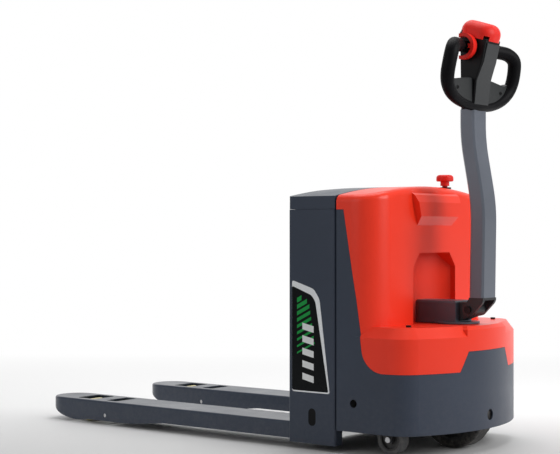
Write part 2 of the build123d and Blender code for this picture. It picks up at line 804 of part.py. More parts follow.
def make_head_body():
    outline = [back_foot, (-507, head_bottom), (-511, 1110), (-518, 1177), (-541, 1237),
               head_top_front, head_top_back]
    head = prism_x(outline, -head_half_width, head_half_width)
    head = fillet(head.edges().filter_by(
        lambda e: abs(abs(e.center().X) - head_half_width) < 0.1), 5)
    for place in button_places:
        head -= back_panel(*place) * Cylinder(button_radius + button_gap, 21)
    return head


button_radius = 8
button_height = 11
button_places = [(0, 1150), (-20, 1215), (20, 1215)]
back_foot = (-462, head_bottom)
back_lean = math.degrees(math.atan2(head_top_back[0] - back_foot[0],
                                    head_top_back[1] - back_foot[1]))


def back_panel(x, z):
    y = back_foot[0] + (head_top_back[0] - back_foot[0]) * (z - back_foot[1]) / (
        head_top_back[1] - back_foot[1])
    return Pos(x, y, z) * Rot(-90 - back_lean, 0, 0)


def make_button(index):
    stalk = Cylinder(button_radius, button_height)
    stalk = fillet(stalk.edges().sort_by(Axis.Z)[-1:], 2)
    return back_panel(*button_places[index]) * Pos(0, 0, -0.5) * stalk


def make_belly_button():
    cap = Box(cap_width, cap_length, cap_height)
    cap = fillet(cap.edges().filter_by(Axis.Z), 42)
    cap = fillet(cap.faces().sort_by(Axis.Z)[-1].edges(), 34)
    depth = cap_skirt + cap_travel + 0.8
    cap -= Pos(0, 0, (depth - cap_height) / 2) * Box(2 * head_half_width + 1, cap_length - 12, depth)
    return cap_plane * Pos(0, 0, cap_height / 2 - cap_skirt) * cap


def grip_path():
    y, z = paddle_axis
    start = head_half_width + paddle_width + 3
    return FilletPolyline((start, y, z), (118, y - 4, z + 1), (grip_reach - 6, -526, 1272),
                          (grip_reach, -508, 1180), (150, -492, 1118),
                          (head_half_width - 2, -486, 1100), radius=38)


def make_grip(side):
    path = grip_path()
    plane = Plane(origin=path @ 0, z_dir=path % 0)
    loop = sweep(plane * Circle(grip_radius), path=path)
    loop += disc_x(grip_neck, head_half_width - 2, head_half_width + paddle_width + 6, *paddle_axis)
    web = make_face(Plane.XZ.offset(478) * Polyline(
        (head_half_width - 1, 1104), (150, 1120), (grip_reach - 6, 1165),
        (head_half_width - 1, 1184), close=True))
    loop += extrude(web, amount=26, dir=(0, -1, 0))
    loop -= block(-head_half_width, head_half_width, -620, -430, 1000, 1400)
    return loop if side > 0 else mirror(loop, about=Plane.YZ)


def make_paddle():
    x0 = head_half_width + 0.5
    x1 = head_half_width + paddle_width
    y, z = paddle_axis
    curve = disc_x(paddle_outer, x0 + 8, x1, y, z) - disc_x(paddle_inner, x0, x1 + 2, y, z)
    curve &= block(x0, x1 + 2, y - 60, y + 12, z - 60, z + 60)
    web = block(x0 + 9, x1 - 4, y - paddle_outer + 3, y, z - 7, z + 7)
    drum = disc_x(19, x0, x1, y, z)
    return curve + web + drum - disc_x(grip_neck + bore_gap, x0 - 1, x1 + 1, y, z)


def make_throttle():
    return group(*both_sides(make_paddle()))


def make_head_screws():
    screws = []
    x, z = 135, 1150
    for side in (-1, 1):
        screws.append(disc_y(6, side * x, -507, -504, z) - disc_y(3, side * x, -508, -505.5, z))
    return group(*screws)


def build():
    nodes = {}
    hood, skirt = make_hood_and_skirt()
    nodes["chassis_frame"] = make_chassis_frame()
    nodes["hood"] = hood
    nodes["skirt"] = skirt
    nodes["hood_screws"] = make_hood_screws()
    nodes["lift_cylinder"] = make_lift_cylinder()
    nodes["pump_tank"] = make_pump_tank()
    nodes["pump_motor"] = make_pump_motor()
    nodes["motor_controller"] = make_controller()
    nodes["steering_bearing"] = make_bearing()
    nodes["stop_collar"] = make_stop_body()
    nodes["stop_button"] = make_stop_button()
    nodes["frame_box"] = make_frame_box()
    nodes["battery_lid"] = make_lid()
    nodes["battery"] = make_battery()
    nodes["piston_rod"] = make_piston_rod()
    nodes["slide_pads"] = make_slide_pads()
    nodes["rocker_shaft"] = make_rocker()
    nodes["rocker_pins"] = make_rocker_pins()
    for name, side in (("left", -1), ("right", 1)):
        nodes["fork_" + name] = fork_at(side)
        nodes["push_rod_" + name] = make_push_rod(side)
        nodes["load_arm_" + name] = make_load_arm(side)
        nodes["load_pins_" + name] = make_load_axle(side)
        nodes["load_tyre_" + name] = make_load_tyre(side)
        nodes["load_hub_" + name] = make_load_hub(side)
        nodes["caster_fork_" + name] = make_caster_fork(side)
        nodes["caster_axle_" + name] = make_caster_axle(side)
        nodes["caster_tyre_" + name] = make_caster_tyre(side)
        nodes["caster_hub_" + name] = make_caster_hub(side)
        nodes["grip_" + name] = make_grip(side)
    nodes["turntable"] = make_turntable()
    nodes["gearbox"] = make_gearbox()
    nodes["drive_motor"] = make_drive_motor()
    nodes["motor_brake"] = make_motor_brake()
    nodes["tiller_base"] = make_tiller_base()
    nodes["hinge_block"] = make_hinge_block()
    nodes["tiller_pin"] = make_tiller_pin()
    nodes["drive_hub"] = make_drive_hub()
    nodes["drive_tyre"] = make_drive_tyre()
    nodes["wheel_bolts"] = make_wheel_bolts()
    nodes["tiller_yoke"] = make_tiller_yoke()
    nodes["tiller_arm"] = make_tiller_arm()
    nodes["head_body"] = make_head_body()
    nodes["belly_button"] = make_belly_button()
    nodes["throttle_paddles"] = make_throttle()
    nodes["horn_button"] = make_button(0)
    nodes["lift_button"] = make_button(1)
    nodes["lower_button"] = make_button(2)
    nodes["head_screws"] = make_head_screws()
    return nodes


nodes = build()
boxes = [piece.bounding_box() for piece in nodes.values()]
middle_y = (min(b.min.Y for b in boxes) + max(b.max.Y for b in boxes)) / 2
os.makedirs("parts", exist_ok=True)
for name, piece in nodes.items():
    export_step(Pos(0, -middle_y, 0) * group(piece), "parts/" + name + ".step")
print("length shift", round(middle_y, 3))
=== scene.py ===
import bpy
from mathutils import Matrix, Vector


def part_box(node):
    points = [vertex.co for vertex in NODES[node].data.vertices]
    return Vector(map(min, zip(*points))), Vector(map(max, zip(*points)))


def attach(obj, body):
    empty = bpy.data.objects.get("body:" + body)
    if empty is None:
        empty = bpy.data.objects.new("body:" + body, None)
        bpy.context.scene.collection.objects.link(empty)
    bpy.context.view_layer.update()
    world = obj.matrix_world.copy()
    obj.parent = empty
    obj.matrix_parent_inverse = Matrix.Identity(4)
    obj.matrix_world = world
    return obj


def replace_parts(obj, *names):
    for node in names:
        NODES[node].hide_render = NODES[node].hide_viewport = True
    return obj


bl_info = {
    "name": "Electric pallet truck looks",
    "version": (1, 0, 0),
    "blender": (4, 5, 0),
    "location": "3D View > Sidebar > Truck",
    "description": "Finishes and soft parts of a walk-behind electric pallet truck",
    "category": "Object",
}

import math

import bmesh
import bpy
from mathutils import Vector

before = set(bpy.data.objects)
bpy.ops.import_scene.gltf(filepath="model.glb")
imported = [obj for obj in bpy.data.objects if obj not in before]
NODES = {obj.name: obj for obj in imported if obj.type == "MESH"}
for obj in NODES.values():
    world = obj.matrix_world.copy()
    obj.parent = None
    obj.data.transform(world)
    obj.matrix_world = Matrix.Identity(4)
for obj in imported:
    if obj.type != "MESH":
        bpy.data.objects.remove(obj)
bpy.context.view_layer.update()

# Places that every piece shares, in metres, from the frame.
HEEL_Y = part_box("frame_box")[1][1]
SIDE_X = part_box("frame_box")[1][0]


# ---- sizes and colours that a user would change ----

class TruckFinish(bpy.types.PropertyGroup):
    body_paint: bpy.props.FloatVectorProperty(
        name="Body paint", description="Powder coat of the forks, skirt and battery box",
        subtype="COLOR", size=3, min=0, max=1, default=(0.032, 0.043, 0.068))
    hood_colour: bpy.props.FloatVectorProperty(
        name="Hood", description="Moulded drive hood",
        subtype="COLOR", size=3, min=0, max=1, default=(0.86, 0.038, 0.013))
    arm_paint: bpy.props.FloatVectorProperty(
        name="Tiller arm", description="Satin coat of the tiller arm",
        subtype="COLOR", size=3, min=0, max=1, default=(0.125, 0.140, 0.172))
    plastic_colour: bpy.props.FloatVectorProperty(
        name="Grips", description="Moulded grips and head",
        subtype="COLOR", size=3, min=0, max=1, default=(0.004, 0.004, 0.005))
    web_colour: bpy.props.FloatVectorProperty(
        name="Grip webs", description="Moulded webs between the head and the loops",
        subtype="COLOR", size=3, min=0, max=1, default=(0.020, 0.022, 0.023))
    panel_colour: bpy.props.FloatVectorProperty(
        name="Head panel", description="Moulded panel on the head's front",
        subtype="COLOR", size=3, min=0, max=1, default=(0.030, 0.032, 0.034))
    control_colour: bpy.props.FloatVectorProperty(
        name="Controls", description="Belly button, paddles and emergency stop",
        subtype="COLOR", size=3, min=0, max=1, default=(0.72, 0.018, 0.011))
    stripe_colour: bpy.props.FloatVectorProperty(
        name="Label stripes", description="Diagonal stripes of the side label",
        subtype="COLOR", size=3, min=0, max=1, default=(0.008, 0.30, 0.055))
    wheel_colour: bpy.props.FloatVectorProperty(
        name="Load wheels", description="Cast polyurethane of the load wheels",
        subtype="COLOR", size=3, min=0, max=1, default=(0.66, 0.58, 0.30))


class TruckSizes(bpy.types.PropertyGroup):
    label_proud: bpy.props.FloatProperty(
        name="Label thickness", description="How far the label stands off its panel",
        unit="LENGTH", min=0.0001, max=0.002, default=0.0005)
    grip_thickness: bpy.props.FloatProperty(
        name="Grip thickness", description="Radius of the hand loops",
        unit="LENGTH", min=0.012, max=0.024, default=0.0215)
    drum_radius: bpy.props.FloatProperty(
        name="Drum radius", description="Black middle of the paddles",
        unit="LENGTH", min=0.01, max=0.03, default=0.019)
    stripe_gap: bpy.props.FloatProperty(
        name="Stripe spacing", description="Distance between the label's stripes",
        unit="LENGTH", min=0.005, max=0.05, default=0.0217)


class TruckStage(bpy.types.PropertyGroup):
    # The floor's near and far tones are painted shade: its colour is darker towards the camera.
    floor_shade_near: bpy.props.FloatProperty(
        name="Floor shade, near", description="Painted shade of the floor in front of the truck",
        min=0, max=1, default=0.58)
    floor_shade_far: bpy.props.FloatProperty(
        name="Floor shade, far", description="Painted shade of the floor behind the truck",
        min=0, max=1, default=0.97)
    lens: bpy.props.FloatProperty(
        name="Lens", description="Focal length on a 36 mm sensor", min=20, max=200, default=90.3)
    heading: bpy.props.FloatProperty(
        name="Heading", description="Turn of the view from the forks' direction",
        unit="ROTATION", default=math.radians(51.83))
    camera_right: bpy.props.FloatProperty(
        name="Camera X", description="Camera's place across the truck", unit="LENGTH",
        default=-3.9347)
    camera_back: bpy.props.FloatProperty(
        name="Camera Y", description="Camera's place along the truck, from the fork heel",
        unit="LENGTH", default=-2.7838)
    camera_height: bpy.props.FloatProperty(
        name="Camera height", description="Height above the floor", unit="LENGTH", default=0.6959)
    sky: bpy.props.FloatProperty(
        name="Surroundings", description="Strength of the even white light", min=0, max=3,
        default=0.30)


# ---- effects shared by the materials ----

def new_group(name, inputs, outputs):
    group = bpy.data.node_groups.new(name, "ShaderNodeTree")
    for label, kind, value in inputs:
        socket = group.interface.new_socket(name=label, in_out="INPUT", socket_type=kind)
        socket.default_value = value
    for label, kind in outputs:
        group.interface.new_socket(name=label, in_out="OUTPUT", socket_type=kind)
    return group, group.nodes.new("NodeGroupInput"), group.nodes.new("NodeGroupOutput")


def add(tree, kind, **values):
    node = tree.nodes.new(kind)
    for key, value in values.items():
        setattr(node, key, value)
    return node


def noise(tree, vector, scale, detail=3.0, roughness=0.55):
    node = add(tree, "ShaderNodeTexNoise")
    node.inputs["Detail"].default_value = detail
    node.inputs["Roughness"].default_value = roughness
    tree.links.new(vector, node.inputs["Vector"])
    if isinstance(scale, (int, float)):
        node.inputs["Scale"].default_value = scale
    else:
        tree.links.new(scale, node.inputs["Scale"])
    return node.outputs["Fac"]


def remap(tree, value, low, high, new_low, new_high):
    node = add(tree, "ShaderNodeMapRange")
    for key, number in (("From Min", low), ("From Max", high), ("To Min", new_low),
                        ("To Max", new_high)):
        if isinstance(number, (int, float)):
            node.inputs[key].default_value = number
        else:
            tree.links.new(number, node.inputs[key])
    tree.links.new(value, node.inputs["Value"])
    return node.outputs["Result"]


def math_node(tree, operation, first, second):
    node = add(tree, "ShaderNodeMath", operation=operation)
    for socket, value in zip(node.inputs, (first, second)):
        if isinstance(value, (int, float)):
            socket.default_value = value
        else:
            tree.links.new(value, socket)
    return node.outputs["Value"]


def mix_colour(tree, factor, first, second, blend="MIX"):
    node = add(tree, "ShaderNodeMix", data_type="RGBA", blend_type=blend)
    for socket, value in ((node.inputs["Factor"], factor), (node.inputs["A"], first),
                          (node.inputs["B"], second)):
        if isinstance(value, bpy.types.NodeSocket):
            tree.links.new(value, socket)
        else:
            socket.default_value = value
    return node.outputs["Result"]


def grain_group():
    """Fine moulded or sprayed grain: a height and a small change of gloss."""
    group, start, end = new_group(
        "Surface grain",
        [("Scale", "NodeSocketFloat", 900.0), ("Gloss", "NodeSocketFloat", 0.4),
         ("Spread", "NodeSocketFloat", 0.1)],
        [("Height", "NodeSocketFloat"), ("Roughness", "NodeSocketFloat")])
    place = add(group, "ShaderNodeTexCoord").outputs["Object"]
    fine = noise(group, place, start.outputs["Scale"], 2.0)
    broad = noise(group, place, 7.0, 4.0)
    low = math_node(group, "SUBTRACT", start.outputs["Gloss"], start.outputs["Spread"])
    high = math_node(group, "ADD", start.outputs["Gloss"], start.outputs["Spread"])
    group.links.new(fine, end.inputs["Height"])
    group.links.new(remap(group, broad, 0.3, 0.7, low, high), end.inputs["Roughness"])
    return group


def tone_group():
    """Slow change of tone over a painted or moulded surface, with dust low down."""
    group, start, end = new_group(
        "Tone and dust",
        [("Colour", "NodeSocketColor", (0.5, 0.5, 0.5, 1)), ("Change", "NodeSocketFloat", 0.1),
         ("Dust", "NodeSocketFloat", 0.1)],
        [("Colour", "NodeSocketColor"), ("Dust mask", "NodeSocketFloat")])
    place = add(group, "ShaderNodeTexCoord").outputs["Object"]
    broad = noise(group, place, 3.2, 5.0)
    low = math_node(group, "SUBTRACT", 1.0, start.outputs["Change"])
    high = math_node(group, "ADD", 1.0, start.outputs["Change"])
    gain = remap(group, broad, 0.3, 0.7, low, high)
    toned = mix_colour(group, 1.0, start.outputs["Colour"], gain, "MULTIPLY")
    axes = add(group, "ShaderNodeSeparateXYZ")
    group.links.new(place, axes.inputs["Vector"])
    height = remap(group, axes.outputs["Z"], 0.0, 0.35, 1.0, 0.0)
    speckle = remap(group, noise(group, place, 60.0, 6.0, 0.7), 0.42, 0.75, 0.0, 1.0)
    mask = math_node(group, "MULTIPLY", height, math_node(group, "MULTIPLY", speckle,
                                                          start.outputs["Dust"]))
    dusty = mix_colour(group, mask, toned, (0.32, 0.30, 0.27, 1))
    group.links.new(dusty, end.inputs["Colour"])
    group.links.new(mask, end.inputs["Dust mask"])
    return group


def wear_group():
    """Thin rubbed marks that show bare metal or a lighter tone."""
    group, start, end = new_group(
        "Rubbed marks",
        [("Amount", "NodeSocketFloat", 0.3), ("Scale", "NodeSocketFloat", 40.0)],
        [("Mask", "NodeSocketFloat")])
    place = add(group, "ShaderNodeTexCoord").outputs["Object"]
    stretch = add(group, "ShaderNodeMapping")
    stretch.inputs["Scale"].default_value = (1.0, 0.12, 1.0)
    group.links.new(place, stretch.inputs["Vector"])
    lines = noise(group, stretch.outputs["Vector"], start.outputs["Scale"], 6.0, 0.75)
    patches = remap(group, noise(group, place, 5.0, 2.0), 0.5, 0.65, 0.0, 1.0)
    marks = remap(group, lines, 0.62, 0.72, 0.0, 1.0)
    mask = math_node(group, "MULTIPLY", math_node(group, "MULTIPLY", marks, patches),
                     start.outputs["Amount"])
    group.links.new(mask, end.inputs["Mask"])
    return group


GROUPS = {}


def group(name):
    makers = {"grain": grain_group, "tone": tone_group, "wear": wear_group}
    if name not in GROUPS:
        GROUPS[name] = makers[name]()
    return GROUPS[name]


def place_group(tree, name, **values):
    node = add(tree, "ShaderNodeGroup")
    node.node_tree = group(name)
    for key, value in values.items():
        node.inputs[key.replace("_", " ")].default_value = value
    return node


def surface(name, colour, gloss, spread=0.06, change=0.08, dust=0.0, grain=900.0, bump=0.08,
            metallic=0.0, wear=0.0, wear_colour=(0.4, 0.4, 0.4), coat=0.0, coat_gloss=0.1,
            specular=0.5):
    material = bpy.data.materials.new(name)
    material.use_nodes = True
    tree = material.node_tree
    shader = tree.nodes["Principled BSDF"]
    tone = place_group(tree, "tone", Colour=(*colour, 1), Change=change, Dust=dust)
    fine = place_group(tree, "grain", Scale=grain, Gloss=gloss, Spread=spread)
    base = tone.outputs["Colour"]
    if wear:
        marks = place_group(tree, "wear", Amount=wear)
        base = mix_colour(tree, marks.outputs["Mask"], base, (*wear_colour, 1))
    tree.links.new(base, shader.inputs["Base Color"])
    rough = math_node(tree, "ADD", fine.outputs["Roughness"],
                      math_node(tree, "MULTIPLY", tone.outputs["Dust mask"], 0.4))
    tree.links.new(rough, shader.inputs["Roughness"])
    shader.inputs["Metallic"].default_value = metallic
    shader.inputs["Specular IOR Level"].default_value = specular
    shader.inputs["Coat Weight"].default_value = coat
    shader.inputs["Coat Roughness"].default_value = coat_gloss
    relief = add(tree, "ShaderNodeBump")
    relief.inputs["Strength"].default_value = bump
    relief.inputs["Distance"].default_value = 0.0004
    tree.links.new(fine.outputs["Height"], relief.inputs["Height"])
    tree.links.new(relief.outputs["Normal"], shader.inputs["Normal"])
    return material


def brushed(name, colour, gloss, stretch):
    """Turned or drawn metal, with its lines along one axis."""
    material = bpy.data.materials.new(name)
    material.use_nodes = True
    tree = material.node_tree
    shader = tree.nodes["Principled BSDF"]
    place = add(tree, "ShaderNodeTexCoord").outputs["Object"]
    mapping = add(tree, "ShaderNodeMapping")
    mapping.inputs["Scale"].default_value = stretch
    tree.links.new(place, mapping.inputs["Vector"])
    lines = noise(tree, mapping.outputs["Vector"], 60.0, 5.0, 0.7)
    shade = remap(tree, lines, 0.3, 0.7, 0.8, 1.1)
    tree.links.new(mix_colour(tree, 1.0, (*colour, 1), shade, "MULTIPLY"),
                   shader.inputs["Base Color"])
    tree.links.new(remap(tree, lines, 0.3, 0.7, gloss - 0.08, gloss + 0.12),
                   shader.inputs["Roughness"])
    shader.inputs["Metallic"].default_value = 1.0
    relief = add(tree, "ShaderNodeBump")
    relief.inputs["Strength"].default_value = 0.12
    relief.inputs["Distance"].default_value = 0.0002
    tree.links.new(lines, relief.inputs["Height"])
    tree.links.new(relief.outputs["Normal"], shader.inputs["Normal"])
    return material


def paint_nodes(material, *names):
    for name in names:
        mesh = NODES[name].data
        mesh.materials.clear()
        mesh.materials.append(material)


def finish():
    return bpy.context.scene.truck_finish


def sizes():
    return bpy.context.scene.truck_sizes


# ---- mesh helpers ----

def new_object(name, mesh_maker, material, body):
    mesh = bpy.data.meshes.new(name)
    build = bmesh.new()
    mesh_maker(build)
    bmesh.ops.recalc_face_normals(build, faces=build.faces)
    build.to_mesh(mesh)
    build.free()
    mesh.materials.append(material)
    piece = bpy.data.objects.new(name, mesh)
    bpy.context.scene.collection.objects.link(piece)
    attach(piece, body)
    return piece


def smooth(piece):
    for face in piece.data.polygons:
        face.use_smooth = True
    return piece


def ring_loop(build, rings):
    """Joins rings of points, each a list of vectors, into one skin."""
    loops = [[build.verts.new(point) for point in ring] for ring in rings]
    for first, second in zip(loops, loops[1:]):
        for i in range(len(first)):
            j = (i + 1) % len(first)
            build.faces.new((first[i], first[j], second[j], second[i]))
    build.faces.new(list(reversed(loops[0])))
    build.faces.new(loops[-1])


def prism(build, outline, depth, direction):
    """A flat plate: outline points moved along direction by depth."""
    near = [build.verts.new(Vector(p)) for p in outline]
    far = [build.verts.new(Vector(p) + Vector(direction) * depth) for p in outline]
    build.faces.new(near)
    build.faces.new(list(reversed(far)))
    for i in range(len(near)):
        j = (i + 1) % len(near)
        build.faces.new((near[j], near[i], far[i], far[j]))


def rounded(points, radius, steps=5):
    """The outline with each corner turned into a short curve."""
    outline = []
    for i, corner in enumerate(points):
        corner = Vector(corner)
        back = Vector(points[i - 1]) - corner
        ahead = Vector(points[(i + 1) % len(points)]) - corner
        start = corner + back.normalized() * min(radius, back.length * 0.45)
        end = corner + ahead.normalized() * min(radius, ahead.length * 0.45)
        for k in range(steps + 1):
            t = k / steps
            outline.append((1 - t) ** 2 * start + 2 * t * (1 - t) * corner + t * t * end)
    return outline


def curve_through(points, steps):
    """Places along a smooth curve that passes through every point."""
    points = [Vector(p) for p in points]
    points = [2 * points[0] - points[1]] + points + [2 * points[-1] - points[-2]]
    path = []
    for a, b, c, d in zip(points, points[1:], points[2:], points[3:]):
        for k in range(steps):
            t = k / steps
            path.append(0.5 * (2 * b + (c - a) * t + (2 * a - 5 * b + 4 * c - d) * t * t
                               + (3 * b - a - 3 * c + d) * t ** 3))
    return path + [points[-2]]


def tube(build, path, radii, sides=20):
    """A skin of round rings along path, one radius to each place."""
    rings = []
    normal = Vector((0, 1, 0))
    for i, place in enumerate(path):
        ahead = path[min(i + 1, len(path) - 1)] - path[max(i - 1, 0)]
        ahead.normalize()
        normal = (normal - ahead * normal.dot(ahead)).normalized()
        across = ahead.cross(normal)
        rings.append([place + radii[i] * (math.cos(a) * normal + math.sin(a) * across)
                      for a in (math.tau * k / sides for k in range(sides))])
    ring_loop(build, rings)


def soften(piece, width, segments=3):
    """Rounds a plate's edges."""
    modifier = piece.modifiers.new("Rounded edges", "BEVEL")
    modifier.width = width
    modifier.segments = segments
    modifier.limit_method = "ANGLE"
    modifier.angle_limit = math.radians(40)
    smooth(piece)
    weighted = piece.modifiers.new("Even shading", "WEIGHTED_NORMAL")
    weighted.keep_sharp = True
    return piece


# ---- pieces ----

class TRUCK_OT_painted_steel(bpy.types.Operator):
    """Coats the forks, battery box, skirt and chassis"""
    bl_idname = "truck.painted_steel"
    bl_label = "Painted steel"

    def execute(self, context):
        colour = tuple(finish().body_paint)
        coat = surface("Body powder coat", colour, 0.36, 0.05, 0.05, dust=0.05, grain=1500.0,
                       bump=0.16, wear=0.06, wear_colour=(0.10, 0.11, 0.13), coat=0.05,
                       coat_gloss=0.3, specular=0.35)
        paint_nodes(coat, "frame_box", "battery_lid", "skirt")
        forks = surface("Fork powder coat", colour, 0.33, 0.06, 0.05, dust=0.08, grain=1300.0,
                        bump=0.2, wear=0.12, wear_colour=(0.22, 0.23, 0.25), coat=0.1,
                        coat_gloss=0.25, specular=0.4)
        paint_nodes(forks, "fork_left", "fork_right")
        inner = surface("Chassis coat", (0.02, 0.022, 0.026), 0.5, dust=0.3, bump=0.2)
        paint_nodes(inner, "chassis_frame", "lift_cylinder", "rocker_shaft", "push_rod_left",
                    "push_rod_right", "load_arm_left", "load_arm_right", "caster_fork_left",
                    "caster_fork_right", "motor_brake")
        return {"FINISHED"}


class TRUCK_OT_hood(bpy.types.Operator):
    """Finishes the moulded drive hood"""
    bl_idname = "truck.hood"
    bl_label = "Hood"

    def execute(self, context):
        gloss = surface("Hood gloss", tuple(finish().hood_colour), 0.34, 0.04, 0.03, grain=500.0,
                        bump=0.03, coat=0.10, coat_gloss=0.16, specular=0.28)
        paint_nodes(gloss, "hood")
        return {"FINISHED"}


class TRUCK_OT_steering(bpy.types.Operator):
    """Finishes the tiller arm, its base and the drive unit"""
    bl_idname = "truck.steering"
    bl_label = "Steering"

    def execute(self, context):
        arm = surface("Arm satin coat", tuple(finish().arm_paint), 0.34, 0.05, 0.05, grain=1400.0,
                      bump=0.12, metallic=0.35, wear=0.12, wear_colour=(0.3, 0.3, 0.32), coat=0.2,
                      coat_gloss=0.25)
        paint_nodes(arm, "tiller_arm")
        base = surface("Base coat", (0.062, 0.078, 0.100), 0.38, 0.05, 0.06, grain=1200.0, bump=0.15)
        paint_nodes(base, "tiller_base")
        cast = surface("Cast housing", (0.03, 0.031, 0.034), 0.5, 0.1, 0.15, dust=0.3, grain=420.0,
                       bump=0.45, metallic=0.4)
        paint_nodes(cast, "gearbox", "drive_hub", "hinge_block", "tiller_yoke")
        motor = surface("Motor housing", (0.20, 0.20, 0.21), 0.42, 0.1, 0.1, dust=0.2, grain=300.0,
                        bump=0.3, metallic=0.8)
        paint_nodes(motor, "drive_motor", "pump_motor", "motor_controller")
        return {"FINISHED"}


class TRUCK_OT_wheels(bpy.types.Operator):
    """Finishes the tyres, load wheels and hubs"""
    bl_idname = "truck.wheels"
    bl_label = "Wheels"

    def execute(self, context):
        black = surface("Drive tyre", (0.013, 0.013, 0.014), 0.62, 0.1, 0.2, dust=0.5, grain=260.0,
                        bump=0.4)
        paint_nodes(black, "drive_tyre")
        grey = surface("Caster tyre", (0.10, 0.10, 0.105), 0.55, 0.08, 0.15, dust=0.4, grain=300.0,
                       bump=0.3)
        paint_nodes(grey, "caster_tyre_left", "caster_tyre_right")
        cream = surface("Load wheel", tuple(finish().wheel_colour), 0.42, 0.08, 0.12, dust=0.5,
                        grain=200.0, bump=0.15)
        paint_nodes(cream, "load_tyre_left", "load_tyre_right")
        paint_nodes(surface("Hub plastic", (0.03, 0.03, 0.032), 0.45, bump=0.2, dust=0.3),
                    "caster_hub_left", "caster_hub_right")
        return {"FINISHED"}


class TRUCK_OT_hardware(bpy.types.Operator):
    """Finishes pins, screws, bearings and the parts inside"""
    bl_idname = "truck.hardware"
    bl_label = "Hardware"

    def execute(self, context):
        turned = brushed("Turned steel", (0.62, 0.62, 0.63), 0.28, (8.0, 1.0, 1.0))
        paint_nodes(turned, "load_pins_left", "load_pins_right", "rocker_pins",
                    "caster_axle_left", "caster_axle_right", "load_hub_left", "load_hub_right",
                    "wheel_bolts", "turntable", "steering_bearing")
        dark = brushed("Blackened screws", (0.03, 0.03, 0.032), 0.4, (1.0, 1.0, 1.0))
        paint_nodes(dark, "hood_screws", "head_screws", "tiller_pin")
        rod = brushed("Chromed rod", (0.75, 0.75, 0.77), 0.12, (1.0, 1.0, 8.0))
        paint_nodes(rod, "piston_rod")
        paint_nodes(surface("Nylon", (0.75, 0.75, 0.7), 0.5, bump=0.1), "slide_pads")
        paint_nodes(surface("Battery case", (0.03, 0.04, 0.06), 0.5, dust=0.1, bump=0.25),
                    "battery", "pump_tank")
        return {"FINISHED"}


class TRUCK_OT_controls(bpy.types.Operator):
    """Finishes the head, buttons and paddles"""
    bl_idname = "truck.controls"
    bl_label = "Controls"

    def execute(self, context):
        black = tuple(finish().plastic_colour)
        head = surface("Head plastic", black, 0.42, 0.05, 0.1, grain=700.0, bump=0.22, specular=0.18)
        paint_nodes(head, "head_body", "stop_collar", "lift_button", "lower_button")
        red = tuple(finish().control_colour)
        cap = surface("Control red", red, 0.40, 0.05, 0.03, grain=600.0, bump=0.05,
                      specular=0.22)
        paint_nodes(cap, "belly_button", "stop_button", "horn_button")
        paddle = surface("Paddle red", red, 0.38, 0.05, 0.03, grain=600.0, bump=0.05,
                         specular=0.22)
        blacken_drum(paddle, black)
        paint_nodes(paddle, "throttle_paddles")
        return {"FINISHED"}


# How far the black reaches past the drum, so that its edge doesn't flicker.
DRUM_MARGIN = 0.0006


def blacken_drum(material, colour):
    """The paddles' drums are black out to a fixed distance from their axis."""
    low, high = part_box("throttle_paddles")
    axis_y = high[1] - sizes().drum_radius
    axis_z = (low[2] + high[2]) / 2
    tree = material.node_tree
    place = add(tree, "ShaderNodeTexCoord").outputs["Object"]
    axes = add(tree, "ShaderNodeSeparateXYZ")
    tree.links.new(place, axes.inputs["Vector"])
    along = math_node(tree, "SUBTRACT", axes.outputs["Y"], axis_y)
    up = math_node(tree, "SUBTRACT", axes.outputs["Z"], axis_z)
    reach = math_node(tree, "SQRT", math_node(tree, "ADD", math_node(tree, "MULTIPLY", along, along),
                                              math_node(tree, "MULTIPLY", up, up)), 0.0)
    inner = math_node(tree, "LESS_THAN", reach, sizes().drum_radius + DRUM_MARGIN)
    base = tree.nodes["Principled BSDF"].inputs["Base Color"]
    before = base.links[0].from_socket
    tree.links.new(mix_colour(tree, inner, before, (*colour, 1)), base)


class TRUCK_OT_grips(bpy.types.Operator):
    """Builds the hand loops, their webs and the head's front panel"""
    bl_idname = "truck.grips"
    bl_label = "Grips"

    def execute(self, context):
        soft = surface("Grip rubber", tuple(finish().plastic_colour), 0.46, 0.05, 0.1,
                       grain=520.0, bump=0.3, specular=0.07)
        panel = surface("Head panel", tuple(finish().panel_colour), 0.44, 0.04, 0.06,
                        grain=800.0, bump=0.2, specular=0.3)
        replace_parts(make_loops(soft), "grip_left", "grip_right")
        web = surface("Web plastic", tuple(finish().web_colour), 0.40, 0.04, 0.06, grain=800.0,
                      bump=0.2, specular=0.35)
        make_web(-1, "left", web)
        make_web(1, "right", web)
        make_head_panel(panel)
        return {"FINISHED"}


# Places of the loops from the fork heel: across, along and up, with the radius there, drawn for
# loops of this radius.
LOOP_RADIUS = 0.0165
LOOP = ((0.0775, -0.485, 1.286, 0.0105), (0.084, -0.485, 1.286, 0.0140),
        (0.100, -0.487, 1.2865, 0.0165), (0.135, -0.497, 1.285, 0.0170),
        (0.170, -0.512, 1.279, 0.0172), (0.196, -0.521, 1.259, 0.0172),
        (0.204, -0.517, 1.224, 0.0170), (0.203, -0.509, 1.186, 0.0168),
        (0.190, -0.502, 1.156, 0.0160), (0.162, -0.497, 1.131, 0.0148),
        (0.125, -0.495, 1.114, 0.0132), (0.085, -0.496, 1.103, 0.0118),
        (0.044, -0.499, 1.097, 0.0106), (0.0, -0.501, 1.095, 0.0100))


def make_loops(material):
    """Both hand loops as one tube that passes under the head."""
    places = [(x, HEEL_Y + y, z) for x, y, z, r in LOOP]
    widths = [(r, 0, 0) for x, y, z, r in LOOP]
    places += [(-x, y, z) for x, y, z in reversed(places[:-1])]
    widths += list(reversed(widths[:-1]))
    scale = sizes().grip_thickness / LOOP_RADIUS
    radii = [width.x * scale for width in curve_through(widths, 4)]
    path = curve_through(places, 4)
    loops = new_object("grip_loops", lambda build: tube(build, path, radii), material,
                       "tiller")
    return smooth(loops)


# The webs: their face towards the forks, from the fork heel, their depth and their corners.
WEB_Y, WEB_DEPTH, WEB_CORNER = -0.479, 0.026, 0.014


